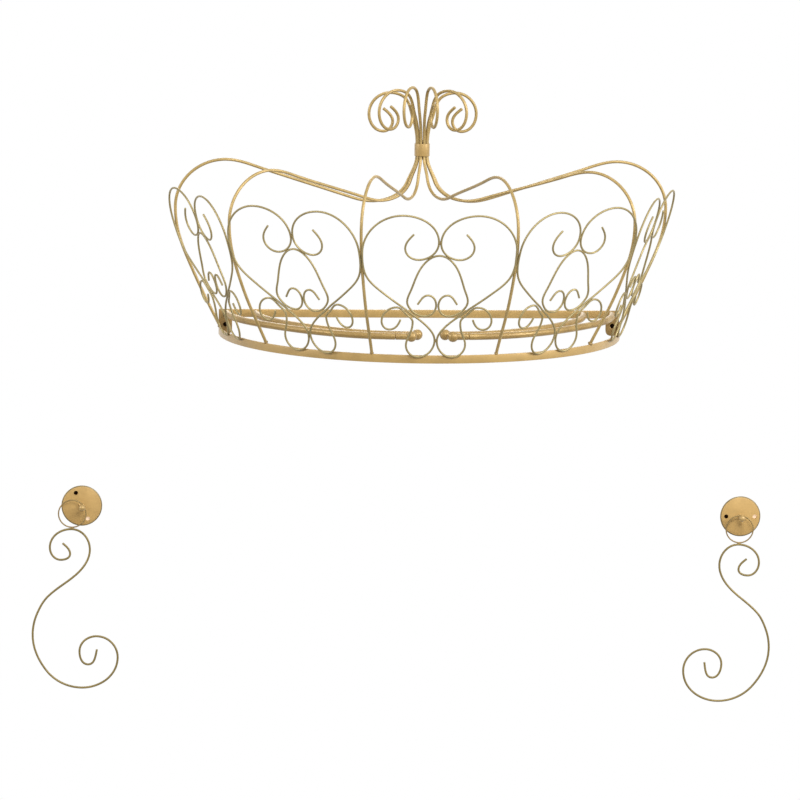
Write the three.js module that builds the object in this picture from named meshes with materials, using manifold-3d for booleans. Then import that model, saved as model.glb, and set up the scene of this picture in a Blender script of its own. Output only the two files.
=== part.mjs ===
// A wall-hung crown for a bed canopy, with its pair of curtain holdbacks, in painted steel wire and bar.
// Millimetres. +X runs to the right along the wall, +Y into the wall and +Z up.
// The origin is the middle of the back bar's rear face, which lies on the wall.
import * as THREE from 'three';
import { mergeVertices } from 'three/addons/utils/BufferGeometryUtils.js';
import Module from 'manifold-3d';

const wasm = await Module();
wasm.setup();

// Fit
// Welded pieces stand this far apart, wire to wire and wire to bar.
const weldGap = 0.3;
// Cuts run this far past the faces that they open.
const cutOverrun = 1;

// Base: flat bar on edge, bent to a half circle, with a straight bar above it on the wall
const strapOuterRadius = 300;
const strapHeight = 12;
const strapThickness = 3;
const backBarHeight = 12;
const backBarThickness = 3;
const strapDrop = 26;
const tabWidth = 20;
const tabCornerRadius = 9;
const screwHoleDiameter = 7;
const screwHoleDrop = 17;

// Ribs: six bent wires that rise from the strap, gather in the collar and end as a plume
const ribCount = 6;
const ribDiameter = 4.5;
const ribFootHeading = 62;
const ribShoulderRadius = 366.5;
const collarFootHeight = 238;
const plumeHeight = 90;
const plumeReach = 80;
const ribStep = 10;
const plumeStep = 6;
const plumeTwist = -7;

// Collar: a band squeezed round the six wires
const collarHeight = 18.5;
const collarThickness = 1;

// Panels: three thin wires between each pair of ribs, two half hearts and a teardrop
const scrollDiameter = 3;
const heartHeight = 228;
const loopOverlap = 2.2;
const weldHeight = 100;
const weldOverhang = 3.4;
const teardropHalfWidth = 45;
const teardropApex = 161;

// Curtain rods: an outer and an inner pair, each rod a quarter of an oval, with a plug-in finial
const rodDiameter = 10;
const rodEndInset = 12;
const outerRodDepth = 244;
const rodWallSpacing = 43;
const rodFrontSpacing = 19;
const outerRodTip = 54;
const innerRodTip = 44;
const rodTipHeading = 3;
const finialBallDiameter = 16;
const finialShankLength = 17;
const spigotDiameter = 6;
const spigotLength = 8;
const spigotClearance = 0.3;

// Holdbacks: a round wall plate, a ball-ended stud, a ring that hangs on it and a scroll hook
const leftPlateReach = 502;
const leftPlateDrop = 292;
const rightPlateReach = 490;
const rightPlateDrop = 306;
const plateDiameter = 61;
const plateRimThickness = 2;
const plateCrown = 3;
const plateFlatDiameter = 12;
const plateHoleDiameter = 6.5;
const plateHoleSpacing = 43;
const leftHoleAngle = 115;
const rightHoleAngle = 180;
const studNeckDiameter = 3;
const studFootDiameter = 8;
const studFootThickness = 1.5;
const studReach = 16;
const studBallDiameter = 10;
const ringDiameter = 41;
const ringWireDiameter = 2;
const ringStandoff = 9;
const hookWireDiameter = 3.2;
const hookHeight = 240.5;
const leftRingAngle = -145;
const rightRingAngle = -83;
const leftHookSwing = 1.5;
const rightHookSwing = 1.5;

// Facets
const finestTurn = THREE.MathUtils.degToRad(30);
const ribTurn = THREE.MathUtils.degToRad(24);
const rodTurn = THREE.MathUtils.degToRad(7.5);
const ribSides = 6;
const scrollSides = 5;
const rodSides = 10;
const strapFacets = 48;
const roundFacets = 24;
const plateFacets = 32;
const plateRings = 4;
const ballRings = 5;
const seatRounds = 30;

// A half turn and a right angle, in degrees
const half = THREE.MathUtils.radToDeg(Math.PI);
const quarter = half / 2;

const gold = { color: 0xc9a25e, metalness: 0.75, roughness: 0.42 };
const group = new THREE.Group();

function addPiece(name, geometry, owner = group) {
  const mesh = new THREE.Mesh(geometry, new THREE.MeshStandardMaterial(gold));
  mesh.name = name;
  owner.add(mesh);
  return mesh;
}

// A solid with merged corners, ready to be cut
function toSolid(geometry) {
  const bare = geometry.clone();
  bare.deleteAttribute('normal');
  bare.deleteAttribute('uv');
  const merged = mergeVertices(bare);
  return new wasm.Manifold(new wasm.Mesh({
    numProp: 3,
    vertProperties: new Float32Array(merged.attributes.position.array),
    triVerts: new Uint32Array(merged.index.array),
  }));
}

function toGeometry(solid) {
  const mesh = solid.getMesh();
  const geometry = new THREE.BufferGeometry();
  geometry.setAttribute('position', new THREE.BufferAttribute(mesh.vertProperties, 3));
  geometry.setIndex(new THREE.BufferAttribute(mesh.triVerts, 1));
  return geometry;
}

function polar(radius, degrees) {
  const angle = THREE.MathUtils.degToRad(degrees);
  return new THREE.Vector2(radius * Math.cos(angle), radius * Math.sin(angle));
}

// A wire bent through a list of bends, each a place and the direction in which the wire passes it.
// Between two bends it runs on as near a circular arc as those two allow, and the facets follow the turn.
class BentWire extends THREE.Curve {
  constructor(bends, turnPerFacet) {
    super();
    this.steps = [];
    for (let i = 1; i < bends.length; i += 1) {
      const start = bends[i - 1];
      const end = bends[i];
      const turn = start.along.angleTo(end.along);
      const reach = (start.at.distanceTo(end.at) * 2) / (3 * (1 + Math.cos(turn / 2)));
      const span = new THREE.CubicBezierCurve3(
        start.at,
        start.at.clone().addScaledVector(start.along, reach),
        end.at.clone().addScaledVector(end.along, -reach),
        end.at,
      );
      const count = Math.max(1, Math.round(turn / turnPerFacet));
      for (let k = 0; k < count; k += 1) {
        this.steps.push({ span, from: k / count, to: (k + 1) / count });
      }
    }
  }

  getPoint(t, target = new THREE.Vector3()) {
    const place = t * this.steps.length;
    const index = Math.min(Math.floor(place), this.steps.length - 1);
    const { span, from, to } = this.steps[index];
    return span.getPoint(from + (to - from) * (place - index), target);
  }

  getTangent(t, target = new THREE.Vector3()) {
    const place = t * this.steps.length;
    const index = Math.min(Math.floor(place), this.steps.length - 1);
    const { span, from, to } = this.steps[index];
    return span.getTangent(from + (to - from) * (place - index), target);
  }

  getPointAt(u, target) {
    return this.getPoint(u, target);
  }

  getTangentAt(u, target) {
    return this.getTangent(u, target);
  }
}

// A round bar along a bent path
function roundBar(path, diameter, sides) {
  const section = new THREE.Shape();
  for (let i = 0; i < sides; i += 1) {
    const corner = polar(diameter / 2, (2 * half * i) / sides);
    if (i === 0) section.moveTo(corner.x, corner.y);
    else section.lineTo(corner.x, corner.y);
  }
  section.closePath();
  return new THREE.ExtrudeGeometry(section, { steps: path.steps.length, extrudePath: path });
}

// The straight facets of a path's centre line that reach above one height and below another
function facetsBetween(path, low, high) {
  const points = path.getPoints(path.steps.length);
  const facets = points.slice(1).map((point, i) => new THREE.Line3(points[i], point));
  return facets.filter(({ start, end }) => (
    Math.max(start.z, end.z) > low && Math.min(start.z, end.z) < high));
}

// Least distance between the centre lines of two paths as they are faceted, between two heights
function leastDistance(pathA, pathB, low, high) {
  const facetsB = facetsBetween(pathB, low, high);
  let least = Infinity;
  for (const a of facetsBetween(pathA, low, high)) {
    for (const b of facetsB) least = Math.min(least, a.distanceSqToLine3(b));
  }
  return Math.sqrt(least);
}

// Least distance of a path from an upright plane through the rib axis, along the plane's normal
function leastBeside(path, normal) {
  const points = path.getPoints(path.steps.length);
  return Math.min(...points.map((point) => point.dot(normal) + axisDepth * normal.y));
}

// The largest size at which a piece still clears what it is welded to, found by halving the interval
function seat(clears, low, high) {
  let safe = low;
  let tooFar = high;
  for (let i = 0; i < seatRounds; i += 1) {
    const middle = (safe + tooFar) / 2;
    if (clears(middle)) safe = middle;
    else tooFar = middle;
  }
  return safe;
}

// Base strap: a half ring on edge, whose ends stop square against the two tabs
const strapInnerRadius = strapOuterRadius - strapThickness;
const strapMidRadius = strapOuterRadius - strapThickness / 2;
const strapTop = strapHeight / 2 - strapDrop;
const strapBottom = -strapHeight / 2 - strapDrop;
const tabFront = -backBarThickness;
const strapEnd = tabFront - weldGap;

function makeStrap() {
  const outerStart = Math.PI + Math.asin(-strapEnd / strapOuterRadius);
  const innerStart = Math.PI + Math.asin(-strapEnd / strapInnerRadius);
  const outline = new THREE.Shape();
  outline.absarc(0, 0, strapOuterRadius, outerStart, 3 * Math.PI - outerStart, false);
  outline.absarc(0, 0, strapInnerRadius, 3 * Math.PI - innerStart, innerStart, true);
  outline.closePath();
  const options = { depth: strapHeight, bevelEnabled: false, curveSegments: strapFacets };
  const geometry = new THREE.ExtrudeGeometry(outline, options);
  geometry.translate(0, 0, strapBottom);
  return geometry;
}
addPiece('base_strap', makeStrap());

// Screw tabs: upright plates on the wall that join the back bar to the strap's ends
const backBarTop = backBarHeight / 2;
const tabInner = strapOuterRadius - tabWidth;

function makeTab(side) {
  const outline = new THREE.Shape();
  outline.moveTo(side * tabInner, backBarTop);
  outline.lineTo(side * tabInner, strapBottom + tabCornerRadius);
  const turn = [
    side * tabInner, strapBottom,
    side * (tabInner + tabCornerRadius), strapBottom,
  ];
  outline.quadraticCurveTo(...turn);
  outline.lineTo(side * strapOuterRadius, strapBottom);
  outline.lineTo(side * strapOuterRadius, backBarTop);
  outline.closePath();
  const hole = new THREE.Path();
  const holeAcross = side * (tabInner + tabWidth / 2);
  hole.absarc(holeAcross, -screwHoleDrop, screwHoleDiameter / 2, 0, 2 * Math.PI, side > 0);
  outline.holes.push(hole);
  const options = { depth: backBarThickness, bevelEnabled: false, curveSegments: roundFacets / 2 };
  const geometry = new THREE.ExtrudeGeometry(outline, options);
  geometry.rotateX(Math.PI / 2);
  return geometry;
}
addPiece('left_screw_tab', makeTab(-1));
addPiece('right_screw_tab', makeTab(1));

// Back bar: straight flat bar on the wall between the tabs
const backBarLength = 2 * (tabInner - weldGap);
const backBar = new THREE.BoxGeometry(backBarLength, backBarThickness, backBarHeight);
backBar.translate(0, -backBarThickness / 2, 0);
addPiece('back_bar', backBar);

// Ribs. Their planes fan out from one upright axis, just clear of the wall, by equal angles.
const ribRadius = ribDiameter / 2;
const axisDepth = backBarThickness + weldGap + ribRadius;
const fanStep = half / (ribCount - 1);
const bundleRadius = (ribDiameter + weldGap) / (2 * Math.sin(THREE.MathUtils.degToRad(fanStep / 2)));
const collarTop = collarFootHeight + collarHeight;

// Directions in plan of the fan, from the left wall side round the front
function fanOut(degrees) {
  const plan = polar(1, half + degrees);
  return new THREE.Vector3(plan.x, plan.y, 0);
}

// Distance from the rib axis to a circle about the origin, along one direction of the fan
function reachTo(radius, degrees) {
  const angle = THREE.MathUtils.degToRad(degrees);
  const ahead = axisDepth * Math.sin(angle);
  const beside = axisDepth * Math.cos(angle);
  return Math.sqrt(radius ** 2 - beside ** 2) - ahead;
}

// Bends of a rib between its foot and the collar: shares of the way out from the bundle to the shoulder,
// shares of the collar's height, the heading in degrees, and the share of the middle ribs' extra height
const ribBendShares = [
  [0.921, 0.26, 66, 0],
  [0.985, 0.505, 75, 0.2],
  [1, 0.675, 90, 0.3],
  [0.792, 0.97, 180, 0.35],
  [0.636, 0.912, 198, 0.4],
  [0.286, 0.745, 198, 0.55],
  [0.186, 0.714, 180, 0.6],
  [0.039, 0.835, 112, 0.4],
];
// Bends of the plume above the collar: shares of its reach, shares of its height, and the heading
const plumeBendShares = [
  [0.085, 0.4, 70],
  [0.3, 0.78, 33],
  [0.56, 0.84, 0],
  [1, 0.49, -90],
  [0.7, 0.2, -180],
  [0.51, 0.37, -272],
  [0.71, 0.58, -322],
];

function ribPath(index) {
  const degrees = fanStep * index;
  const axis = new THREE.Vector3(0, -axisDepth, 0);
  const rank = Math.min(index, ribCount - 1 - index);
  let out = fanOut(degrees);
  const bend = (radius, height, heading) => {
    const ahead = polar(1, heading);
    return {
      at: axis.clone().addScaledVector(out, radius).setZ(height),
      along: out.clone().multiplyScalar(ahead.x).setZ(ahead.y),
    };
  };
  const footLift = weldGap + ribRadius * polar(1, ribFootHeading).x;
  const bends = [bend(reachTo(strapMidRadius, degrees), strapTop + footLift, ribFootHeading)];
  for (const [across, up, heading, liftShare] of ribBendShares) {
    const radius = bundleRadius + across * (ribShoulderRadius - bundleRadius);
    bends.push(bend(radius, up * collarFootHeight + liftShare * ribStep * rank, heading));
  }
  bends.push(bend(bundleRadius, collarFootHeight, quarter));
  bends.push(bend(bundleRadius, collarTop, quarter));
  // The curls in front stand a little round from their ribs, and those along the wall don't
  out = fanOut(degrees + plumeTwist * polar(1, degrees).y);
  for (const [across, up, heading] of plumeBendShares) {
    const radius = bundleRadius + across * (plumeReach - bundleRadius);
    bends.push(bend(radius, collarTop + up * plumeHeight + plumeStep * rank, heading));
  }
  return new BentWire(bends, ribTurn);
}
const ribPaths = [];
for (let i = 0; i < ribCount; i += 1) {
  ribPaths.push(ribPath(i));
  addPiece(`rib_${i + 1}`, roundBar(ribPaths[i], ribDiameter, ribSides));
}

// Collar: a band with a round front and a flat back, squeezed round the fan of wires
function collarOutline(offset) {
  const radius = bundleRadius + ribRadius + offset;
  const back = ribRadius + offset;
  const outline = new THREE.Shape();
  outline.moveTo(radius, back);
  outline.lineTo(-radius, back);
  outline.lineTo(-radius, 0);
  outline.absarc(0, 0, radius, Math.PI, 2 * Math.PI, false);
  outline.closePath();
  return outline;
}
const collarShape = collarOutline(weldGap + collarThickness);
collarShape.holes.push(collarOutline(weldGap));
const collar = new THREE.ExtrudeGeometry(collarShape, {
  depth: collarHeight,
  bevelEnabled: false,
  curveSegments: roundFacets,
});
collar.translate(0, -axisDepth, collarFootHeight);
addPiece('plume_collar', collar);

// Panels. Each lies in a plane that leans out from the strap's outer face to the outside of two ribs.
// Across is measured from the panel's centre line and up from the foot of the bottom loops.
const scrollRadius = scrollDiameter / 2;
const touch = scrollRadius + weldGap / 2;
const loopFoot = strapTop - loopOverlap;

// Bends of a half heart: share of the way from the centre contact to the rib contact, share of the
// heart's height, and heading
const heartBendShares = [
  [0.331, 0.869, -48],
  [0.44, 0.773, -90],
  [0.257, 0.69, -180],
  [0, 0.808, -270],
  [0.486, 1, -360],
  [1, 0.75, -450],
  [0.955, 0.595, -470],
  [0.728, 0.464, -500],
  [0.428, 0.35, -504],
  [0.326, 0.308, -502],
  [0.115, 0.222, -493],
  [0, 0.117, -450],
  [0.212, 0, -360],
  [0.376, 0.087, -270],
  [0.32, 0.179, -252],
  [0.3, 0.25, -272],
  [0.39, 0.306, -312],
  [0.52, 0.353, -360],
  [0.71, 0.257, -450],
  [0.6, 0.196, -540],
  [0.463, 0.266, -615],
];
const loopFootShare = 0.212;

// Bends of a half teardrop: share of its half width, share of its height above the loops' foot to its
// apex, and heading
const teardropBendShares = [
  [0.64, 0.52, 125],
  [0.3, 0.61, 180],
  [0, 0.51, 270],
  [0.36, 0.405, 360],
  [0.82, 0.457, 408],
  [1, 0.55, 450],
  [0.87, 0.67, 468],
  [0.44, 0.93, 490],
];

// Where the rib's centre line stands at one height, measured from the rib axis
function ribReachAt(path, height) {
  const [{ start, end }] = facetsBetween(path, height, height);
  const place = start.clone().lerp(end, (height - start.z) / (end.z - start.z));
  return Math.hypot(place.x, place.y + axisDepth);
}

// The plane of one panel: origin at its foot on its centre line, with across and up directions
function panelPlane(index) {
  const degrees = fanStep * (index + 0.5);
  const out = fanOut(degrees);
  const across = fanOut(degrees + quarter);
  const sideways = axisDepth * Math.abs(polar(1, degrees).x);
  const loopAcross = loopFootShare * ribShoulderRadius * polar(1, quarter - fanStep / 2).x;
  const faceRadius = strapOuterRadius + weldGap + scrollRadius;
  const ahead = axisDepth * polar(1, degrees).y;
  const footReach = Math.sqrt(faceRadius ** 2 - Math.max(0, loopAcross - sideways - touch) ** 2) - ahead;
  const chordShare = polar(1, fanStep / 2).x;
  const chord = chordShare * ribReachAt(ribPaths[index], weldHeight);
  const lean = Math.atan2(chord + weldOverhang - footReach, weldHeight - loopFoot);
  return {
    foot: new THREE.Vector3(0, -axisDepth, loopFoot).addScaledVector(out, footReach),
    across,
    up: out.clone().multiplyScalar(Math.sin(lean)).setZ(Math.cos(lean)),
  };
}

function planeBend(plane, across, up, heading) {
  const ahead = polar(1, heading);
  return {
    at: plane.foot.clone().addScaledVector(plane.across, across).addScaledVector(plane.up, up),
    along: plane.across.clone().multiplyScalar(ahead.x).addScaledVector(plane.up, ahead.y),
  };
}

// A half heart of one side, +1 or -1, whose widest place lies at halfWidth
function heartPath(plane, side, halfWidth) {
  const bends = heartBendShares.map(([across, up, heading]) => {
    const place = side * (touch + across * (halfWidth - touch));
    const turned = side > 0 ? heading : half - heading;
    return planeBend(plane, place, up * heartHeight, turned);
  });
  return new BentWire(bends, finestTurn);
}

// The teardrop: its right half, the apex, and the mirror of the right half run backwards
function teardropPath(plane, halfWidth, apex) {
  const right = teardropBendShares.map(([across, up, heading]) => ({
    across: touch + across * (halfWidth - touch), up: up * apex, heading,
  }));
  const left = right.map(({ across, up, heading }) => ({ across: -across, up, heading: -heading }));
  const places = [...right, { across: 0, up: apex, heading: half }, ...left.reverse()];
  return new BentWire(places.map((p) => planeBend(plane, p.across, p.up, p.heading)), finestTurn);
}

function addPanel(index) {
  const plane = panelPlane(index);
  const ribNeed = ribRadius + scrollRadius + weldGap;
  const wireNeed = scrollDiameter + weldGap;
  const widest = ribShoulderRadius * polar(1, quarter - fanStep / 2).x;
  const heartTop = strapTop + heartHeight;
  const hearts = [-1, 1].map((side) => {
    const ribIndex = side < 0 ? index : index + 1;
    const rib = ribPaths[ribIndex];
    const inward = fanOut(fanStep * ribIndex - side * quarter);
    const clears = (width) => {
      const path = heartPath(plane, side, width);
      const clearsRib = leastDistance(path, rib, strapTop, heartTop) > ribNeed;
      return clearsRib && leastBeside(path, inward) > touch;
    };
    return heartPath(plane, side, seat(clears, widest / 2, widest));
  });
  const middle = strapTop + teardropApex / 2;
  const clearsHearts = (path, low, high) => hearts.every((heart) => (
    leastDistance(path, heart, low, high) > wireNeed));
  const clearsSides = (width) => clearsHearts(teardropPath(plane, width, teardropApex), strapTop, middle);
  const width = seat(clearsSides, teardropHalfWidth / 2, teardropHalfWidth * 2);
  const clearsTop = (apex) => clearsHearts(teardropPath(plane, width, apex), middle, heartTop);
  const apex = seat(clearsTop, teardropApex / 2, teardropApex * 2);
  const teardrop = teardropPath(plane, width, apex);
  const wires = { left_scroll: hearts[0], right_scroll: hearts[1], teardrop };
  for (const [name, path] of Object.entries(wires)) {
    addPiece(`panel_${index + 1}_${name}`, roundBar(path, scrollDiameter, scrollSides));
  }
}
for (let i = 0; i < ribCount - 1; i += 1) addPanel(i);

// Curtain rods and their finials
const rodRadius = rodDiameter / 2;
const rodStart = tabFront - weldGap;
const shankSeat = spigotLength + weldGap;

// Middle bend of a rod, as shares of its half width and of its depth
const rodMiddleShare = 0.69;

function rodPath(side, halfWidth, depth, tip) {
  const heading = side < 0 ? -rodTipHeading : half + rodTipHeading;
  const middleHeading = side < 0 ? -quarter / 2 : -quarter - quarter / 2;
  const bend = (x, y, degrees) => {
    const ahead = polar(1, degrees);
    return { at: new THREE.Vector3(x, y, 0), along: new THREE.Vector3(ahead.x, ahead.y, 0) };
  };
  return new BentWire([
    bend(side * halfWidth, rodStart, -quarter),
    bend(side * halfWidth * rodMiddleShare, rodStart - (depth + rodStart) * rodMiddleShare, middleHeading),
    bend(side * tip, -depth, heading),
  ], rodTurn);
}

// A finial turned in one piece: spigot, shank and ball, along +Y from the spigot's end
function makeFinial() {
  const ballRadius = finialBallDiameter / 2;
  const neckSink = Math.sqrt(ballRadius ** 2 - rodRadius ** 2);
  const ballCentre = shankSeat + finialShankLength + neckSink;
  const profile = [
    new THREE.Vector2(0, 0),
    new THREE.Vector2(spigotDiameter / 2, 0),
    new THREE.Vector2(spigotDiameter / 2, shankSeat),
    new THREE.Vector2(rodRadius, shankSeat),
  ];
  const first = Math.atan2(-neckSink, rodRadius);
  for (let i = 0; i <= ballRings; i += 1) {
    const angle = first + ((Math.PI / 2 - first) * i) / ballRings;
    const radius = i === ballRings ? 0 : ballRadius * Math.cos(angle);
    profile.push(new THREE.Vector2(radius, ballCentre + ballRadius * Math.sin(angle)));
  }
  return new THREE.LatheGeometry(profile, roundFacets / 2);
}

// A cylinder along +Y whose foot stands on the origin, turned and moved to a place
function pin(diameter, length, place, along) {
  const geometry = new THREE.CylinderGeometry(diameter / 2, diameter / 2, length, roundFacets);
  geometry.translate(0, length / 2, 0);
  geometry.applyQuaternion(new THREE.Quaternion().setFromUnitVectors(new THREE.Vector3(0, 1, 0), along));
  geometry.translate(place.x, place.y, place.z);
  return geometry;
}

function addRod(name, side, halfWidth, depth, tip) {
  const path = rodPath(side, halfWidth, depth, tip);
  const end = path.getPoint(1);
  const along = path.getTangent(1).normalize();
  const boreDepth = spigotLength + spigotClearance;
  const boreFoot = end.clone().addScaledVector(along, -boreDepth);
  const boreDiameter = spigotDiameter + 2 * spigotClearance;
  const bore = pin(boreDiameter, boreDepth + cutOverrun, boreFoot, along);
  const bar = toSolid(roundBar(path, rodDiameter, rodSides));
  addPiece(`${name}_rod`, toGeometry(bar.subtract(toSolid(bore))));
  const finial = addPiece(`${name}_finial`, makeFinial());
  finial.quaternion.setFromUnitVectors(new THREE.Vector3(0, 1, 0), along);
  finial.position.copy(end).addScaledVector(along, -spigotLength);
}
const outerRodHalfWidth = strapOuterRadius - rodEndInset;
const innerRodHalfWidth = outerRodHalfWidth - rodWallSpacing;
const innerRodDepth = outerRodDepth - rodFrontSpacing;
addRod('left_outer', -1, outerRodHalfWidth, outerRodDepth, outerRodTip);
addRod('right_outer', 1, outerRodHalfWidth, outerRodDepth, outerRodTip);
addRod('left_inner', -1, innerRodHalfWidth, innerRodDepth, innerRodTip);
addRod('right_inner', 1, innerRodHalfWidth, innerRodDepth, innerRodTip);

// Holdback wall plate: flat at the back and gently crowned, with two screw holes
const plateRadius = plateDiameter / 2;
const plateFront = plateRimThickness + plateCrown;

function makePlate(holeAngle) {
  const flatRadius = plateFlatDiameter / 2;
  const profile = [new THREE.Vector2(0, 0), new THREE.Vector2(plateRadius, 0)];
  for (let i = 0; i <= plateRings; i += 1) {
    const inward = i / plateRings;
    const radius = plateRadius + (flatRadius - plateRadius) * inward;
    const height = plateRimThickness + plateCrown * (1 - (1 - inward) ** 2);
    profile.push(new THREE.Vector2(radius, height));
  }
  profile.push(new THREE.Vector2(0, plateFront));
  let solid = toSolid(new THREE.LatheGeometry(profile, plateFacets));
  for (const turn of [0, half]) {
    const spot = polar(plateHoleSpacing / 2, holeAngle + turn);
    const place = new THREE.Vector3(spot.x, -cutOverrun, -spot.y);
    const drill = pin(plateHoleDiameter, plateFront + 2 * cutOverrun, place, new THREE.Vector3(0, 1, 0));
    solid = solid.subtract(toSolid(drill));
  }
  const geometry = toGeometry(solid);
  geometry.rotateX(Math.PI);
  return geometry;
}

// Stud: a foot on the plate, a thin neck and a ball that keeps the ring on
function makeStud() {
  const foot = plateFront + weldGap;
  const ballRadius = studBallDiameter / 2;
  const neckRadius = studNeckDiameter / 2;
  const neckSink = Math.sqrt(ballRadius ** 2 - neckRadius ** 2);
  const ballCentre = foot + studReach;
  const profile = [
    new THREE.Vector2(0, foot),
    new THREE.Vector2(studFootDiameter / 2, foot),
    new THREE.Vector2(studFootDiameter / 2, foot + studFootThickness),
    new THREE.Vector2(neckRadius, foot + studFootThickness),
  ];
  const first = Math.atan2(-neckSink, neckRadius);
  for (let i = 0; i <= ballRings; i += 1) {
    const angle = first + ((Math.PI / 2 - first) * i) / ballRings;
    const radius = i === ballRings ? 0 : ballRadius * Math.cos(angle);
    profile.push(new THREE.Vector2(radius, ballCentre + ballRadius * Math.sin(angle)));
  }
  const geometry = new THREE.LatheGeometry(profile, roundFacets / 2);
  geometry.rotateX(Math.PI);
  return geometry;
}

// Bends of the hook: shares of its height across and down from its weld to the ring, and heading
const hookBendShares = [
  [-0.054, -0.09, -40],
  [-0.005, -0.157, -90],
  [-0.063, -0.195, -180],
  [-0.132, -0.115, -270],
  [0, 0, -360],
  [0.117, -0.131, -450],
  [0.056, -0.266, -492],
  [-0.135, -0.43, -493],
  [-0.199, -0.543, -471],
  [-0.221, -0.665, -450],
  [-0.126, -0.9, -410],
  [0.092, -1, -360],
  [0.313, -0.807, -270],
  [0.179, -0.672, -180],
  [0.074, -0.767, -90],
  [0.13, -0.852, 0],
  [0.182, -0.755, 80],
];

// The hook and the ring that carries it, drawn about the ring's centre with the weld straight below
function hookPath(side) {
  const weld = ringDiameter / 2 + ringWireDiameter / 2 + weldGap + hookWireDiameter / 2;
  const bends = hookBendShares.map(([across, up, heading]) => {
    const ahead = polar(1, heading);
    return {
      at: new THREE.Vector3(side * across * hookHeight, 0, up * hookHeight - weld),
      along: new THREE.Vector3(side * ahead.x, 0, ahead.y),
    };
  });
  return new BentWire(bends, finestTurn);
}

function addHoldback(name, side, reach, drop, holeAngle, ringAngle, swing) {
  const holdback = new THREE.Group();
  holdback.position.set(side * reach, 0, -drop);
  group.add(holdback);
  addPiece(`${name}_holdback_plate`, makePlate(holeAngle), holdback);
  addPiece(`${name}_holdback_stud`, makeStud(), holdback);

  const hang = ringDiameter / 2 - ringWireDiameter / 2 - weldGap - studNeckDiameter / 2;
  const centre = polar(hang, side < 0 ? ringAngle : half - ringAngle);
  const hanging = new THREE.Group();
  hanging.position.set(centre.x, -(plateFront + ringStandoff), centre.y);
  hanging.rotation.y = THREE.MathUtils.degToRad(swing);
  holdback.add(hanging);
  const ring = new THREE.TorusGeometry(ringDiameter / 2, ringWireDiameter / 2, ribSides, roundFacets);
  ring.rotateX(Math.PI / 2);
  addPiece(`${name}_holdback_ring`, ring, hanging);
  addPiece(`${name}_holdback_hook`, roundBar(hookPath(-side), hookWireDiameter, ribSides), hanging);
}
addHoldback('left', -1, leftPlateReach, leftPlateDrop, leftHoleAngle, leftRingAngle, leftHookSwing);
addHoldback('right', 1, rightPlateReach, rightPlateDrop, rightHoleAngle, rightRingAngle, rightHookSwing);

export default group;
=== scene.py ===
import math

import bmesh
import bpy
import numpy as np
from mathutils import Matrix, Vector
from mathutils.kdtree import KDTree


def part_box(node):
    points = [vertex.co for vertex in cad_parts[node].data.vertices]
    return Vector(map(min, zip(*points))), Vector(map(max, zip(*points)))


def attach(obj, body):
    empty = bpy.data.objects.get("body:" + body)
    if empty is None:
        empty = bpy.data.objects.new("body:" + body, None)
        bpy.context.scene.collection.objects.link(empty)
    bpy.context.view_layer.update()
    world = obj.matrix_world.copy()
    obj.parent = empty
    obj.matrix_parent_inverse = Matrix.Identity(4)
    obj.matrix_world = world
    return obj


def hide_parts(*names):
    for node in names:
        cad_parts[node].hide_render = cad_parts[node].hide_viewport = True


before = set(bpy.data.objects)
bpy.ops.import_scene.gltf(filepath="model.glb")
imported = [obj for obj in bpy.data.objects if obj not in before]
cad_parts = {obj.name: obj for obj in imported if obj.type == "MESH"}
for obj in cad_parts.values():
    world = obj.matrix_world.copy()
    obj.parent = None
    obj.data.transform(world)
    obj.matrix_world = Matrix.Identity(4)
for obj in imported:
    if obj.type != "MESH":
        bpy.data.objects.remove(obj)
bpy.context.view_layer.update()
scene = bpy.context.scene
MM = 0.001

# Camera: a long lens far off, a little to the left of straight on and a little above.
# Its place was solved from the strap, the ribs and the plume in the photograph.
view_turn = math.radians(-4.332)
view_rise = math.radians(8.559)
view_roll = math.radians(0.852)
view_target = Vector((-27.0, 0, -130.7)) * MM
view_distance = 9518.2 * MM
focal_pixels = 6354.9
image_pixels = 800
sensor_width = 36
farthest_seen = 100


def add_object(name, data):
    """A new object in the scene that carries some data."""
    thing = bpy.data.objects.new(name, data)
    scene.collection.objects.link(thing)
    return thing


lens = bpy.data.cameras.new("portrait_lens")
lens.sensor_width = sensor_width
lens.lens = focal_pixels / image_pixels * sensor_width
lens.clip_end = farthest_seen
camera = add_object("camera", lens)
backward = Vector((
    math.sin(view_turn) * math.cos(view_rise),
    -math.cos(view_turn) * math.cos(view_rise),
    math.sin(view_rise),
))
level = Vector((math.cos(view_turn), math.sin(view_turn), 0))
upright = backward.cross(level)
rolled_right = level * math.cos(view_roll) + upright * math.sin(view_roll)
rolled_up = upright * math.cos(view_roll) - level * math.sin(view_roll)
camera.matrix_world = (
    Matrix.Translation(view_target + backward * view_distance)
    @ Matrix((rolled_right, rolled_up, backward)).transposed().to_4x4()
)
scene.camera = camera


# Base strap: a 12 x 3 mm flat steel bar bent on edge to a half ring, 600 mm across.
# Its ends are welded square against the two screw tabs, and it is sprayed with the rest of the crown.
strap_outer_radius = 300 * MM
strap_thickness = 3 * MM
strap_height = 12 * MM
strap_drop = 26 * MM
# Welded pieces stand this far apart, and beads of weld close the gap
weld_gap = 0.3 * MM
strap_end = -strap_thickness - weld_gap
bar_edge_radius = 0.5 * MM
bar_edge_steps = 3
strap_stations = 121


def srgb(code):
    """The linear colour of an sRGB hex value, by the curve that the sRGB standard gives."""
    parts = [int(code[i:i + 2], 16) / 255 for i in (1, 3, 5)]
    return [p / 12.92 if p <= 0.04045 else ((p + 0.055) / 1.055) ** 2.4 for p in parts] + [1]


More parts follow.
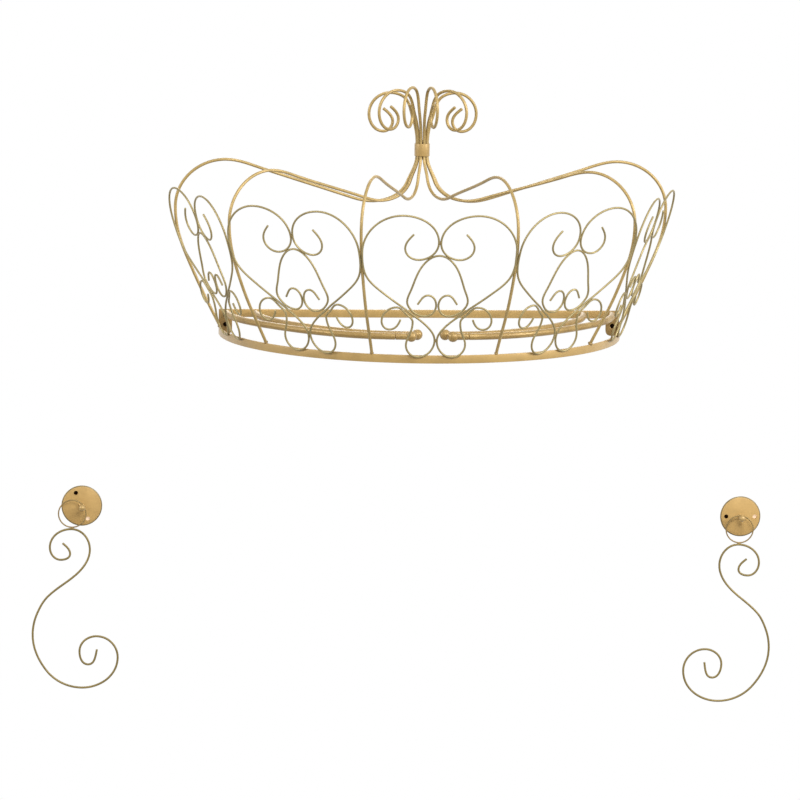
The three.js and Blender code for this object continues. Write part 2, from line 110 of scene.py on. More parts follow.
def add_node(tree, kind, sockets=None, **settings):
    """A node with its settings. A socket's value may be another node's output, which is linked to it."""
    node = tree.nodes.new(kind)
    for name, value in settings.items():
        setattr(node, name, value)
    for name, value in (sockets or {}).items():
        socket = node.inputs[name]
        if isinstance(value, bpy.types.NodeSocket):
            tree.links.new(value, socket)
        else:
            socket.default_value = value
    return node


def blank_material(name):
    """A new material and its node tree, which is empty."""
    material = bpy.data.materials.new(name)
    material.use_nodes = True
    material.node_tree.nodes.clear()
    return material, material.node_tree


# The coat's thickness changes over about 25 mm, along and round a bar. Flakes are 0.05 mm across; they
# are drawn 0.9 mm across, so that they show at all. Orange peel ripples about 2 mm apart.
cloud_width = 25 * MM
flake_width = 0.9 * MM
peel_width = 2 * MM
coat_roughness = 0.4


def gold_paint(name, tone, worn_tone, metallic, roughness, peel_height, coat):
    """Gold metallic paint, sprayed and baked on steel: mica flakes in a clear binder.

    To the eye it is a satin gold whose tone clouds a little where the coat is thinner, with a fine
    orange-peel surface that softens every highlight.
    """
    material, tree = blank_material(name)
    place = add_node(tree, "ShaderNodeTexCoord").outputs["Object"]
    cloud = add_node(tree, "ShaderNodeTexNoise", {
        "Vector": place, "Scale": 1 / cloud_width, "Detail": 3.0, "Roughness": 0.55})
    # Clouds run from the worn to the full tone over the noise's middle range
    cloud_steps = add_node(tree, "ShaderNodeMapRange", {
        "Value": cloud.outputs["Fac"], "From Min": 0.38, "From Max": 0.66})
    # A flake lies at its own tilt, so it is a few percent lighter or darker than the next
    flake = add_node(tree, "ShaderNodeTexVoronoi", {"Vector": place, "Scale": 1 / flake_width})
    flake_light = add_node(tree, "ShaderNodeMapRange", {
        "Value": flake.outputs["Distance"], "To Min": 0.97, "To Max": 1.04})
    base = add_node(tree, "ShaderNodeMix", {
        "Factor": cloud_steps.outputs["Result"], 6: srgb(worn_tone), 7: srgb(tone)}, data_type="RGBA")
    flaked = add_node(tree, "ShaderNodeHueSaturation", {
        "Color": base.outputs[2], "Value": flake_light.outputs["Result"]})
    # Where the coat is thicker, it flowed out a little smoother
    sheen_steps = add_node(tree, "ShaderNodeMapRange", {
        "Value": cloud.outputs["Fac"], "From Min": 0.35, "From Max": 0.7,
        "To Min": roughness + 0.06, "To Max": roughness - 0.05})
    # The ripples of the orange peel are some hundredths of a millimetre high in the dried coat
    peel = add_node(tree, "ShaderNodeTexNoise", {
        "Vector": place, "Scale": 1 / peel_width, "Detail": 1.0, "Roughness": 0.5})
    bump = add_node(tree, "ShaderNodeBump", {
        "Height": peel.outputs["Fac"], "Strength": 0.5, "Distance": peel_height})
    surface = add_node(tree, "ShaderNodeBsdfPrincipled", {
        "Base Color": flaked.outputs["Color"], "Metallic": metallic,
        "Roughness": sheen_steps.outputs["Result"], "Normal": bump.outputs["Normal"],
        "Coat Weight": coat, "Coat Roughness": coat_roughness})
    add_node(tree, "ShaderNodeOutputMaterial", {"Surface": surface.outputs["BSDF"]})
    return material


bar_paint = gold_paint(
    "gold_paint_on_bar", "#C39F59", "#B49250",
    metallic=0.28, roughness=0.42, peel_height=0.02 * MM, coat=0.9)


def named_inputs(tree, **kinds):
    """Adds a node tree's geometry sockets and its named inputs, and returns the group's input node."""
    tree.interface.new_socket("Geometry", in_out="INPUT", socket_type="NodeSocketGeometry")
    tree.interface.new_socket("Geometry", in_out="OUTPUT", socket_type="NodeSocketGeometry")
    for name, kind in kinds.items():
        tree.interface.new_socket(name, in_out="INPUT", socket_type=f"NodeSocket{kind}")
    return add_node(tree, "NodeGroupInput")


def end_tree(tree, geometry, material):
    """The end of every tree here: real geometry in one material."""
    real = add_node(tree, "GeometryNodeRealizeInstances", {"Geometry": geometry})
    dressed = add_node(tree, "GeometryNodeSetMaterial", {
        "Geometry": real.outputs["Geometry"], "Material": material})
    add_node(tree, "NodeGroupOutput", {"Geometry": dressed.outputs["Geometry"]})


flat_bar = bpy.data.node_groups.new("flat_bar", "GeometryNodeTree")
bar_in = named_inputs(
    flat_bar, Height="Float", Thickness="Float", Edge_Radius="Float", Material="Material").outputs
bar_line = add_node(flat_bar, "GeometryNodeMeshToCurve", {"Mesh": bar_in["Geometry"]})
bar_upright = add_node(
    flat_bar, "GeometryNodeSetCurveNormal", {"Curve": bar_line.outputs["Curve"]}, mode="Z_UP")
bar_section = add_node(flat_bar, "GeometryNodeCurvePrimitiveQuadrilateral", {
    "Width": bar_in["Thickness"], "Height": bar_in["Height"]})
bar_rounded = add_node(flat_bar, "GeometryNodeFilletCurve", {
    "Curve": bar_section.outputs["Curve"], "Radius": bar_in["Edge_Radius"], "Count": bar_edge_steps,
    "Limit Radius": True}, mode="POLY")
bar_swept = add_node(flat_bar, "GeometryNodeCurveToMesh", {
    "Curve": bar_upright.outputs["Curve"], "Profile Curve": bar_rounded.outputs["Curve"],
    "Fill Caps": True})
end_tree(flat_bar, bar_swept.outputs["Mesh"], bar_in["Material"])

# Edges that turn by more than this stay sharp in the shading
crease = math.radians(35)


def finish_piece(piece, body, *nodes):
    """Shades a piece, ties it to its body, and hides the CAD nodes that it stands for."""
    piece.data.shade_smooth()
    piece.data.set_sharp_from_angle(angle=crease)
    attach(piece, body)
    if nodes:
        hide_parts(*nodes)


def evaluated_mesh(thing):
    """The plain mesh that an object's modifiers or curves give."""
    evaluated = thing.evaluated_get(bpy.context.evaluated_depsgraph_get())
    return bpy.data.meshes.new_from_object(evaluated)


def grow(name, points, links, tree, attributes=None, **sizes):
    """Runs a node tree on points and the links between them, and keeps the result as a plain mesh."""
    seed = bpy.data.meshes.new(name)
    seed.from_pydata(points, links, [])
    for label, values in (attributes or {}).items():
        store = seed.attributes.new(label, "FLOAT_VECTOR", "POINT")
        store.data.foreach_set("vector", np.ravel(values))
    piece = add_object(name, seed)
    modifier = piece.modifiers.new(tree.name, "NODES")
    modifier.node_group = tree
    for socket in tree.interface.items_tree:
        if socket.in_out == "INPUT" and socket.name in sizes:
            modifier[socket.identifier] = sizes[socket.name]
    piece.data = evaluated_mesh(piece)
    piece.modifiers.clear()
    return piece


def chain(count, closed=False):
    """Links that join a row of points, and its end to its start where it is closed."""
    links = [(i, i + 1) for i in range(count - 1)]
    return links + [(count - 1, 0)] if closed else links


strap_middle_radius = strap_outer_radius - strap_thickness / 2
strap_start = math.asin(strap_end / strap_middle_radius)
strap_angles = np.linspace(math.pi - strap_start, 2 * math.pi + strap_start, strap_stations)
strap_line = [
    (strap_middle_radius * math.cos(a), strap_middle_radius * math.sin(a), -strap_drop)
    for a in strap_angles
]
strap = grow(
    "curved_strap", strap_line, chain(strap_stations), flat_bar, Height=strap_height,
    Thickness=strap_thickness, Edge_Radius=bar_edge_radius, Material=bar_paint)
finish_piece(strap, "crown", "base_strap")


# Back bar and screw tabs: a straight flat bar on the wall, and at each end an upright plate with one
# rounded corner and one hole, punched from 3 mm sheet. The strap, the bar and the tabs are welded
# together, and two screws through the tabs carry the whole crown.
back_bar_height = 12 * MM
tab_width = 20 * MM
tab_corner = 9 * MM
tab_hole_radius = 3.5 * MM
tab_hole_drop = 17 * MM
corner_stations = 12
hole_stations = 40
edge_steps = 2
merge_distance = 0.001 * MM

tab_inner = strap_outer_radius - tab_width
bar_end = tab_inner - weld_gap
back_line = [(-bar_end, -strap_thickness / 2, 0), (bar_end, -strap_thickness / 2, 0)]
back_bar = grow(
    "back_bar_flat", back_line, chain(2), flat_bar, Height=back_bar_height,
    Thickness=strap_thickness, Edge_Radius=bar_edge_radius, Material=bar_paint)
finish_piece(back_bar, "crown", "back_bar")


def punched_plate(name, outline, hole, thickness, edge, material):
    """A flat plate from an outline and a hole, in the wall's plane, with softened edges."""
    sheet = bpy.data.curves.new(name, "CURVE")
    sheet.dimensions = "2D"
    sheet.fill_mode = "BOTH"
    sheet.extrude = thickness / 2 - edge
    sheet.bevel_depth = edge
    sheet.bevel_resolution = edge_steps
    sheet.offset = -edge
    for ring in (outline, hole):
        spline = sheet.splines.new("POLY")
        spline.points.add(len(ring) - 1)
        spline.points.foreach_set("co", np.ravel([(x, z, 0, 1) for x, z in ring]))
        spline.use_cyclic_u = True
    drawn = add_object(name, sheet)
    mesh = evaluated_mesh(drawn)
    bpy.data.objects.remove(drawn)
    mesh.transform(Matrix.Translation((0, -thickness / 2, 0)) @ Matrix.Rotation(math.pi / 2, 4, "X"))
    merged = bmesh.new()
    merged.from_mesh(mesh)
    bmesh.ops.remove_doubles(merged, verts=merged.verts, dist=merge_distance)
    bmesh.ops.recalc_face_normals(merged, faces=merged.faces)
    merged.to_mesh(mesh)
    merged.free()
    mesh.materials.clear()
    mesh.materials.append(material)
    return add_object(name, mesh)


# The tabs sit in the corner of strap, bar and ribs, and their darker, duller copy of the gold paint is
# painted shade there
shaded_tab_paint = gold_paint(
    "gold_paint_on_tab_with_painted_shade", "#AC8B52", "#9A7C48",
    metallic=0.28, roughness=0.5, peel_height=0.02 * MM, coat=0.2)

tab_top = back_bar_height / 2
tab_bottom = -strap_drop - strap_height / 2
for side, label in ((-1, "left"), (1, "right")):
    outline = [(side * tab_inner, tab_top)]
    for t in np.linspace(0, 1, corner_stations):
        # The corner turns from straight down to straight out
        across = tab_inner + tab_corner * t * t
        outline.append((side * across, tab_bottom + tab_corner * (1 - t) ** 2))
    outline += [(side * strap_outer_radius, tab_bottom), (side * strap_outer_radius, tab_top)]
    centre = side * (tab_inner + tab_width / 2)
    hole = [
        (centre + tab_hole_radius * math.cos(a), tab_hole_radius * math.sin(a) - tab_hole_drop)
        for a in np.linspace(0, 2 * math.pi, hole_stations, endpoint=False)
    ]
    tab = punched_plate(
        f"{label}_tab_plate", outline, hole, strap_thickness, bar_edge_radius, shaded_tab_paint)
    finish_piece(tab, "crown", f"{label}_screw_tab")


# Ribs: six 4.5 mm steel wires bent cold, each in one upright plane of a fan. They stand on the
# strap, swell out, dive over the shoulder to a saddle, rise through the collar and curl as a plume.
rib_count = 6
rib_sides = 6
rib_radius = 2.25 * MM
steps_per_facet = 8
# The least dot product of the normals of two faces in one plane
same_plane = 1 - 1e-6

rib_paint = gold_paint(
    "gold_paint_on_rib", "#BFA265", "#AE9357",
    metallic=0.3, roughness=0.45, peel_height=0.01 * MM, coat=0.3)

round_wire = bpy.data.node_groups.new("round_wire", "GeometryNodeTree")
wire_in = named_inputs(
    round_wire, Radius="Float", End_Round="Float", Corners="Int", Material="Material").outputs
wire_line = add_node(round_wire, "GeometryNodeMeshToCurve", {"Mesh": wire_in["Geometry"]})
# The radius falls along a quarter circle over the last stretch before each cut end
wire_run = add_node(round_wire, "GeometryNodeSplineParameter")
wire_total = add_node(round_wire, "GeometryNodeSplineLength")
wire_closed = add_node(round_wire, "GeometryNodeInputSplineCyclic")
to_end = add_node(round_wire, "ShaderNodeMath", {
    0: wire_total.outputs["Length"], 1: wire_run.outputs["Length"]}, operation="SUBTRACT")
to_nearest = add_node(round_wire, "ShaderNodeMath", {
    0: to_end.outputs["Value"], 1: wire_run.outputs["Length"]}, operation="MINIMUM")
# A closed ring has no end, so every point of it counts as a metre away from one
to_cut = add_node(round_wire, "ShaderNodeMath", {
    0: to_nearest.outputs["Value"], 1: wire_closed.outputs["Cyclic"]}, operation="MAXIMUM")
inward = add_node(round_wire, "ShaderNodeMath", {
    0: to_cut.outputs["Value"], 1: wire_in["End_Round"]}, operation="DIVIDE", use_clamp=True)
past = add_node(round_wire, "ShaderNodeMath", {0: 1.0, 1: inward.outputs["Value"]}, operation="SUBTRACT")
square = add_node(round_wire, "ShaderNodeMath", {
    0: past.outputs["Value"], 1: past.outputs["Value"]}, operation="MULTIPLY")
level_share = add_node(round_wire, "ShaderNodeMath", {
    0: 1.0, 1: square.outputs["Value"]}, operation="SUBTRACT", use_clamp=True)
height_share = add_node(round_wire, "ShaderNodeMath", {0: level_share.outputs["Value"]}, operation="SQRT")
lost_share = add_node(round_wire, "ShaderNodeMath", {
    0: height_share.outputs["Value"], 1: 1.0}, operation="SUBTRACT")
wire_girth = add_node(round_wire, "ShaderNodeMath", {
    0: lost_share.outputs["Value"], 1: wire_in["End_Round"], 2: wire_in["Radius"]},
    operation="MULTIPLY_ADD")
wire_section = add_node(round_wire, "GeometryNodeCurvePrimitiveCircle", {
    "Resolution": wire_in["Corners"], "Radius": 1.0}, mode="RADIUS")
wire_swept = add_node(round_wire, "GeometryNodeCurveToMesh", {
    "Curve": wire_line.outputs["Curve"], "Profile Curve": wire_section.outputs["Curve"],
    "Scale": wire_girth.outputs["Value"], "Fill Caps": True})
end_tree(round_wire, wire_swept.outputs["Mesh"], wire_in["Material"])


def read_rings(node, sides):
    """The centre and direction of each ring of corners of a CAD bar, from one cut end to the other."""
    bar = bmesh.new()
    bar.from_mesh(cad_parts[node].data)
    bmesh.ops.remove_doubles(bar, verts=bar.verts, dist=merge_distance)
    bar.normal_update()
    bar.verts.index_update()
    # A corner of a cut end has four edges where no diagonal of the end's face meets it
    corners = [v for v in bar.verts if len(v.link_edges) == 4]
    start = max(corners, key=lambda v: v.co.y)
    for face in start.link_faces:
        flat, reached = {face}, [face]
        while reached:
            for edge in reached.pop().edges:
                for other in edge.link_faces:
                    if other not in flat and other.normal.dot(face.normal) > same_plane:
                        flat.add(other)
                        reached.append(other)
        if len(flat) == sides - 2:
            ring = {v for f in flat for v in f.verts}
    rings, seen = [], set()
    while len(ring) == sides:
        rings.append(np.array([v.co for v in sorted(ring, key=lambda v: v.index)]))
        seen |= ring
        ring = {e.other_vert(v) for v in ring for e in v.link_edges} - seen
    bar.free()
    centres = np.array([r.mean(0) for r in rings])
    ahead = np.gradient(centres, axis=0)
    directions = np.array([np.linalg.svd(r - c)[2][2] for r, c in zip(rings, centres)])
    directions *= np.sign((directions * ahead).sum(1))[:, None]
    return centres, directions


def bent_line(node, sides):
    """A CAD bar's centre line as one smooth bend through its rings."""
    centres, directions = read_rings(node, sides)
    line = [centres[0]]
    for (a, b), (u, v) in zip(zip(centres, centres[1:]), zip(directions, directions[1:])):
        # Each stretch is a cubic curve, whose handles are as long as they are on a circular arc
        turn = math.acos(min(1, float(u @ v)))
        handle = 2 * np.linalg.norm(b - a) / (3 * (1 + math.cos(turn / 2)))
        corners = np.array([a, a + u * handle, b - v * handle, b])
        for t in np.linspace(0, 1, steps_per_facet + 1)[1:]:
            shares = np.array([(1 - t) ** 3, 3 * t * (1 - t) ** 2, 3 * t * t * (1 - t), t ** 3])
            line.append(shares @ corners)
    return np.array(line)


# Points within the rounding of a cut end, and how far from the end the line's own points start again,
# both as shares of the rounding's length
end_steps = np.array([0, 0.1, 0.3, 0.6, 1.0])
end_clearance = 1.5


def with_end_points(line, end_round):
    """A line with more points close to its two ends, for the rounding there."""
    run = np.append(0, np.cumsum(np.linalg.norm(np.diff(line, axis=0), axis=1)))
    steps = end_steps * end_round
    clear = end_clearance * end_round
    between = run[(run > clear) & (run < run[-1] - clear)]
    places = np.concatenate([steps, between, (run[-1] - steps)[::-1]])
    return np.stack([np.interp(places, run, line[:, k]) for k in range(3)], axis=1)


# Centre lines of the CAD's wires and bars by node, which the welds are found from
lines = {}


def wire_piece(name, node, body, sides, radius, corners, end_round, material):
    """A round wire along the centre line of a CAD wire, which it stands for."""
    lines[node] = bent_line(node, sides)
    points = with_end_points(lines[node], end_round)
    piece = grow(
        name, points.tolist(), chain(len(points)), round_wire,
        Radius=radius, End_Round=end_round, Corners=corners, Material=material)
    finish_piece(piece, body, node)


rib_corners = 20
rib_end_round = 0.8 * MM
for i in range(1, rib_count + 1):
    wire_piece(
        f"rib_{i}_wire", f"rib_{i}", "crown",
        rib_sides, rib_radius, rib_corners, rib_end_round, rib_paint)


# Collar: a band of 1 mm sheet, squeezed round the six wires where they stand closest and tacked
# at the back. It has a round front and a flat back against the wall side.
collar_height = 18.5 * MM
collar_thickness = 1 * MM
collar_foot = 238 * MM
collar_edge_radius = 0.3 * MM
collar_stations = 33

collar_low, collar_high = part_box("plume_collar")
collar_outer = (collar_high.x - collar_low.x) / 2
collar_radius = collar_outer - collar_thickness / 2
collar_axis = collar_low.y + collar_outer
collar_back = collar_high.y - collar_thickness / 2
collar_line = [(collar_radius, collar_back), (-collar_radius, collar_back)] + [
    (collar_radius * math.cos(a), collar_axis + collar_radius * math.sin(a))
    for a in np.linspace(math.pi, 2 * math.pi, collar_stations)
]
collar_middle = collar_foot + collar_height / 2
collar = grow(
    "collar_band", [(x, y, collar_middle) for x, y in collar_line],
    chain(len(collar_line), closed=True), flat_bar, Height=collar_height,
    Thickness=collar_thickness, Edge_Radius=collar_edge_radius, Material=bar_paint)
finish_piece(collar, "crown", "plume_collar")


# Panels: between each pair of ribs lie three 3 mm wires, bent flat on a jig in one leaning plane.
# Two half hearts end in scrolls and a teardrop with two curls stands between them.
scroll_sides = 5
scroll_radius = 1.5 * MM
scroll_corners = 16
scroll_end_round = 0.6 * MM

# The coat on the thin wires is the thinnest, and the steel greys it
scroll_paint = gold_paint(
    "gold_paint_on_scroll", "#A99868", "#99895D",
    metallic=0.5, roughness=0.45, peel_height=0.01 * MM, coat=0.1)

for i in range(1, rib_count):
    for part in ("left_scroll", "right_scroll", "teardrop"):
        wire_piece(
            f"panel_{i}_{part}_wire", f"panel_{i}_{part}", "crown",
            scroll_sides, scroll_radius, scroll_corners, scroll_end_round, scroll_paint)


# Curtain rods: four 10 mm round steel bars, rolled to a quarter of an oval. The outer pair is welded to
# the tabs and the inner pair to the back bar, and their front ends are drilled for the finials.
rod_sides = 10
rod_radius = 5 * MM
rod_corners = 32
rod_end_round = 0.8 * MM
rod_bore_radius = 3.3 * MM
rod_bore_depth = 8.3 * MM
lathe_stations = 48
rod_names = ("left_outer", "right_outer", "left_inner", "right_inner")

# The rods lie under the ribs and panels, and their darker copy of the gold paint is painted shade
shaded_rod_paint = gold_paint(
    "gold_paint_on_rod_with_painted_shade", "#BC9B59", "#AC8C50",
    metallic=0.28, roughness=0.42, peel_height=0.012 * MM, coat=0.4)


def turned(name, profile, place, along, material, stations=lathe_stations):
    """A piece turned on a lathe: rings of radius and distance along its axis, from foot to tip."""
    shape = bmesh.new()
    angles = np.linspace(0, 2 * math.pi, stations, endpoint=False)
    rings = []
    for radius, distance in profile:
        if radius == 0:
            rings.append([shape.verts.new((0, 0, distance))])
        else:
            rings.append([
                shape.verts.new((radius * math.cos(a), radius * math.sin(a), distance))
                for a in angles])
    for low, high in zip(rings, rings[1:]):
        for k in range(stations):
            n = (k + 1) % stations
            corners = [low[k % len(low)], low[n % len(low)], high[n % len(high)], high[k % len(high)]]
            shape.faces.new(list(dict.fromkeys(corners)))
    bmesh.ops.recalc_face_normals(shape, faces=shape.faces)
    shape.transform(
        Matrix.Translation(place) @ Vector((0, 0, 1)).rotation_difference(along).to_matrix().to_4x4())
    mesh = bpy.data.meshes.new(name)
    shape.to_mesh(mesh)
    shape.free()
    mesh.materials.append(material)
    return add_object(name, mesh)


def drill(piece, radius, length, start, along):
    """Drills a round hole of a radius and a length into a piece, from one place along a direction."""
    profile = [(0, 0), (radius, 0), (radius, length), (0, length)]
    cutter = turned("cutter", profile, start, along, piece.data.materials[0])
    cut = piece.modifiers.new("drill", "BOOLEAN")
    cut.solver = "EXACT"
    cut.object = cutter
    piece.data = evaluated_mesh(piece)
    piece.modifiers.clear()
    bpy.data.objects.remove(cutter)


tips = {}
for rod in rod_names:
    line = bent_line(f"{rod}_rod", rod_sides)
    lines[f"{rod}_rod"] = line
    centres, directions = read_rings(f"{rod}_rod", rod_sides)
    tips[rod] = (Vector(centres[-1]), Vector(directions[-1]).normalized())
    points = with_end_points(line, rod_end_round)
    piece = grow(
        f"{rod}_curtain_rod", points.tolist(), chain(len(points)), round_wire,
        Radius=rod_radius, End_Round=rod_end_round, Corners=rod_corners, Material=shaded_rod_paint)
    tip, along = tips[rod]
    # The cutter reaches as far out of the rod's end as into it
    drill(piece, rod_bore_radius, 2 * rod_bore_depth, tip - along * rod_bore_depth, along)
    finish_piece(piece, "crown", f"{rod}_rod")


# Finials: each is turned in one piece from steel, a 16 mm ball on a 10 mm shank with a 6 mm spigot
# that pushes into the rod's drilled end and holds by friction.
spigot_radius = 3 * MM
spigot_length = 8 * MM
shank_gap = 0.3 * MM
shank_length = 17 * MM
ball_radius = 8 * MM
shank_chamfer = 0.8 * MM
ball_stations = 24


def ball_tip(neck_radius, radius, middle):
    """The profile of a ball, from where it meets its neck to its tip."""
    sink = math.sqrt(radius ** 2 - neck_radius ** 2)
    angles = np.linspace(math.atan2(-sink, neck_radius), math.pi / 2, ball_stations)
    round_part = [(radius * math.cos(a), middle + radius * math.sin(a)) for a in angles[:-1]]
    return round_part + [(0, middle + radius)]


ball_sink = math.sqrt(ball_radius ** 2 - rod_radius ** 2)
shank_foot = spigot_length + shank_gap
ball_middle = shank_foot + shank_length + ball_sink
finial_profile = [
    (0, 0), (spigot_radius, 0), (spigot_radius, shank_foot), (rod_radius - shank_chamfer, shank_foot),
    (rod_radius, shank_foot + shank_chamfer),
] + ball_tip(rod_radius, ball_radius, ball_middle)
for rod in rod_names:
    tip, along = tips[rod]
    # The finials share the rods' darker paint, which is painted shade
    finial = turned(
        f"{rod}_ball_finial", finial_profile, tip - along * spigot_length, along, shaded_rod_paint)
    finish_piece(finial, f"{rod}_finial", f"{rod}_finial")


# Holdback plates: two 61 mm steel discs, flat on the wall and turned to a shallow dome in front, with a
# rounded rim. Each is drilled for two screws, and carries a stud in its middle.
plate_radius = 30.5 * MM
plate_rim = 2 * MM
plate_crown = 3 * MM
plate_flat_radius = 6 * MM
plate_edge = 0.8 * MM
plate_hole_radius = 3.25 * MM
plate_hole_reach = 21.5 * MM
left_plate = Vector((-502, 0, -292)) * MM
right_plate = Vector((490, 0, -306)) * MM
# Directions of the upper or left hole of each plate; the other lies straight across
left_hole_angle = math.radians(115)
right_hole_angle = math.radians(180)
# The rim's front edge is rounded over 60 degrees, from where the dome goes on
rim_foot_steps = 4
rim_top_steps = 3
rim_top_turn = math.radians(60)
dome_steps = 15
plate_stations = 96
rim_shade_width = 1.4 * MM
outward = Vector((0, -1, 0))

# The turned discs take the coat evenly, and a greyer, darker paint over the outer rim is painted shade
# there
plate_paint = gold_paint(
    "gold_paint_on_plate", "#D6AF6B", "#CCA664",
    metallic=0.1, roughness=0.6, peel_height=0.006 * MM, coat=0.2)
rim_shade_paint = gold_paint(
    "gold_paint_with_painted_rim_shade", "#8C7A52", "#7C6A45",
    metallic=0.5, roughness=0.45, peel_height=0.01 * MM, coat=0.1)

plate_front = plate_rim + plate_crown
plate_profile = [(0, 0), (plate_radius - plate_edge, 0)]
for a in np.linspace(-math.pi / 2, 0, rim_foot_steps + 1)[1:]:
    plate_profile.append((
        plate_radius - plate_edge * (1 - math.cos(a)), plate_edge * (1 + math.sin(a))))
for a in np.linspace(0, rim_top_turn, rim_top_steps + 1):
    plate_profile.append((
        plate_radius - plate_edge * (1 - math.cos(a)), plate_rim - plate_edge * (1 - math.sin(a))))
for t in np.linspace(0, 1, dome_steps + 1)[1:]:
    radius = plate_radius + (plate_flat_radius - plate_radius) * t
    plate_profile.append((radius, plate_rim + plate_crown * (1 - (1 - t) ** 2)))
plate_profile.append((0, plate_front))
hole_spots = {}
for label, middle, hole_angle in (
    ("left", left_plate, left_hole_angle), ("right", right_plate, right_hole_angle),
):
    plate = turned(
        f"{label}_wall_plate", plate_profile, middle, outward, plate_paint, plate_stations)
    plate.data.materials.append(rim_shade_paint)
    # Faces on the outer rim take the darker paint, which is painted shade
    for face in plate.data.polygons:
        away = Vector(face.center) - middle
        away.y = 0
        face.material_index = int(away.length > plate_radius - rim_shade_width)
    hole_spots[label] = [
        middle + Vector((math.cos(a), 0, math.sin(a))) * plate_hole_reach
        for a in (hole_angle, hole_angle + math.pi)
    ]
    for spot in hole_spots[label]:
        # The cutter starts well behind the plate and ends well in front of it
        drill(plate, plate_hole_radius, 4 * plate_front, spot - outward * plate_front, outward)
    finish_piece(plate, "crown", f"{label}_holdback_plate")


# Studs: each is a 3 mm pin with a riveted foot on the plate and a 10 mm ball tip that keeps the
# ring from slipping off.
stud_foot_radius = 4 * MM
stud_foot_height = 1.5 * MM
stud_neck_radius = 1.5 * MM
stud_reach = 16 * MM
stud_ball_radius = 5 * MM

stud_foot = plate_front + weld_gap
stud_profile = [
    (0, stud_foot), (stud_foot_radius, stud_foot),
    (stud_foot_radius, stud_foot + stud_foot_height / 2),
    (stud_foot_radius - stud_foot_height / 2, stud_foot + stud_foot_height),
    (stud_neck_radius, stud_foot + stud_foot_height),
] + ball_tip(stud_neck_radius, stud_ball_radius, stud_foot + stud_reach)
for label, middle in (("left", left_plate), ("right", right_plate)):
    stud = turned(f"{label}_ball_stud", stud_profile, middle, outward, bar_paint)
    finish_piece(stud, "crown", f"{label}_holdback_stud")


# Rings and hooks: a closed ring of 2 mm wire hangs on each stud, and is welded to a hook bent from
# 3.2 mm wire, with a scroll at the top and a wide one below that catches the curtain.
ring_radius = 20.5 * MM
ring_wire_radius = 1 * MM
ring_stations = 96
hook_sides = 6
hook_radius = 1.6 * MM
hook_corners = 18
hook_end_round = 0.6 * MM

# The holdbacks are small enough to be sprayed from all sides, so their coat is full and deep
hook_paint = gold_paint(
    "gold_paint_on_hook", "#8F7B42", "#7F6D39",
    metallic=0.3, roughness=0.45, peel_height=0.01 * MM, coat=0.3)
# The ring is drawn thin and bright, so its coat stays clean gold
ring_paint = gold_paint(
    "gold_paint_on_ring", "#9C8350", "#8C7447",
    metallic=0.5, roughness=0.4, peel_height=0.005 * MM, coat=0.1)

for label in ("left", "right"):
    low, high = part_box(f"{label}_holdback_ring")
    middle = (low + high) / 2
    circle = [
        (middle.x + ring_radius * math.cos(a), middle.y, middle.z + ring_radius * math.sin(a))
        for a in np.linspace(0, 2 * math.pi, ring_stations, endpoint=False)
    ]
    lines[f"{label}_holdback_ring"] = np.array(circle)
    ring = grow(
        f"{label}_hanging_ring", circle, chain(ring_stations, closed=True), round_wire,
        Radius=ring_wire_radius, End_Round=hook_end_round, Corners=hook_corners,
        Material=ring_paint)
    finish_piece(ring, f"{label}_hook", f"{label}_holdback_ring")
    wire_piece(
        f"{label}_scroll_hook", f"{label}_holdback_hook", f"{label}_hook",
        hook_sides, hook_radius, hook_corners, hook_end_round, hook_paint)


# Welds: small beads of steel where two pieces touch, lumpy as they froze and sprayed over with the
# rest. Between wires they are set where two centre lines come as close as two wires that touch.
# Bead reach is the widest gap that counts as welded, and bead spread the least distance of two beads.
# Beads vary between the least and the most in size.
bead_reach = 0.9 * MM
bead_spread = 6 * MM
bead_length = 5 * MM
bead_width = 2.6 * MM
bead_lump = 0.35 * MM
bead_lump_spacing = 1.5 * MM
bead_least = 0.85
bead_most = 1.15
bead_seed = 7

bead_paint = gold_paint(
    "gold_paint_on_weld", "#9C8250", "#866C3C",
    metallic=0.5, roughness=0.45, peel_height=0.05 * MM, coat=0.3)

weld_beads = bpy.data.node_groups.new("weld_beads", "GeometryNodeTree")
bead_in = named_inputs(
    weld_beads, Length="Float", Width="Float", Lump="Float", Seed="Int", Material="Material").outputs
# A ball of one metre, which the width and the length then bring to a bead's size
bead_ball = add_node(weld_beads, "GeometryNodeMeshIcoSphere", {"Radius": 0.5, "Subdivisions": 3})
bead_heading = add_node(
    weld_beads, "GeometryNodeInputNamedAttribute", {"Name": "heading"}, data_type="FLOAT_VECTOR")
bead_turn = add_node(
    weld_beads, "FunctionNodeAlignRotationToVector",
    {"Vector": bead_heading.outputs["Attribute"]}, axis="Z")
bead_size = add_node(weld_beads, "ShaderNodeCombineXYZ", {
    "X": bead_in["Width"], "Y": bead_in["Width"], "Z": bead_in["Length"]})
bead_luck = add_node(
    weld_beads, "FunctionNodeRandomValue", {
        "Min": bead_least, "Max": bead_most, "Seed": bead_in["Seed"]}, data_type="FLOAT")
bead_scale = add_node(weld_beads, "ShaderNodeVectorMath", {
    0: bead_size.outputs["Vector"], "Scale": bead_luck.outputs["Value"]}, operation="SCALE")
bead_points = add_node(weld_beads, "GeometryNodeMeshToPoints", {"Mesh": bead_in["Geometry"]})
bead_copies = add_node(weld_beads, "GeometryNodeInstanceOnPoints", {
    "Points": bead_points.outputs["Points"], "Instance": bead_ball.outputs["Mesh"],
    "Rotation": bead_turn.outputs["Rotation"], "Scale": bead_scale.outputs["Vector"]})
bead_solid = add_node(
    weld_beads, "GeometryNodeRealizeInstances", {"Geometry": bead_copies.outputs["Instances"]})
bead_noise = add_node(
    weld_beads, "ShaderNodeTexNoise", {"Scale": 1 / bead_lump_spacing, "Detail": 1.0})
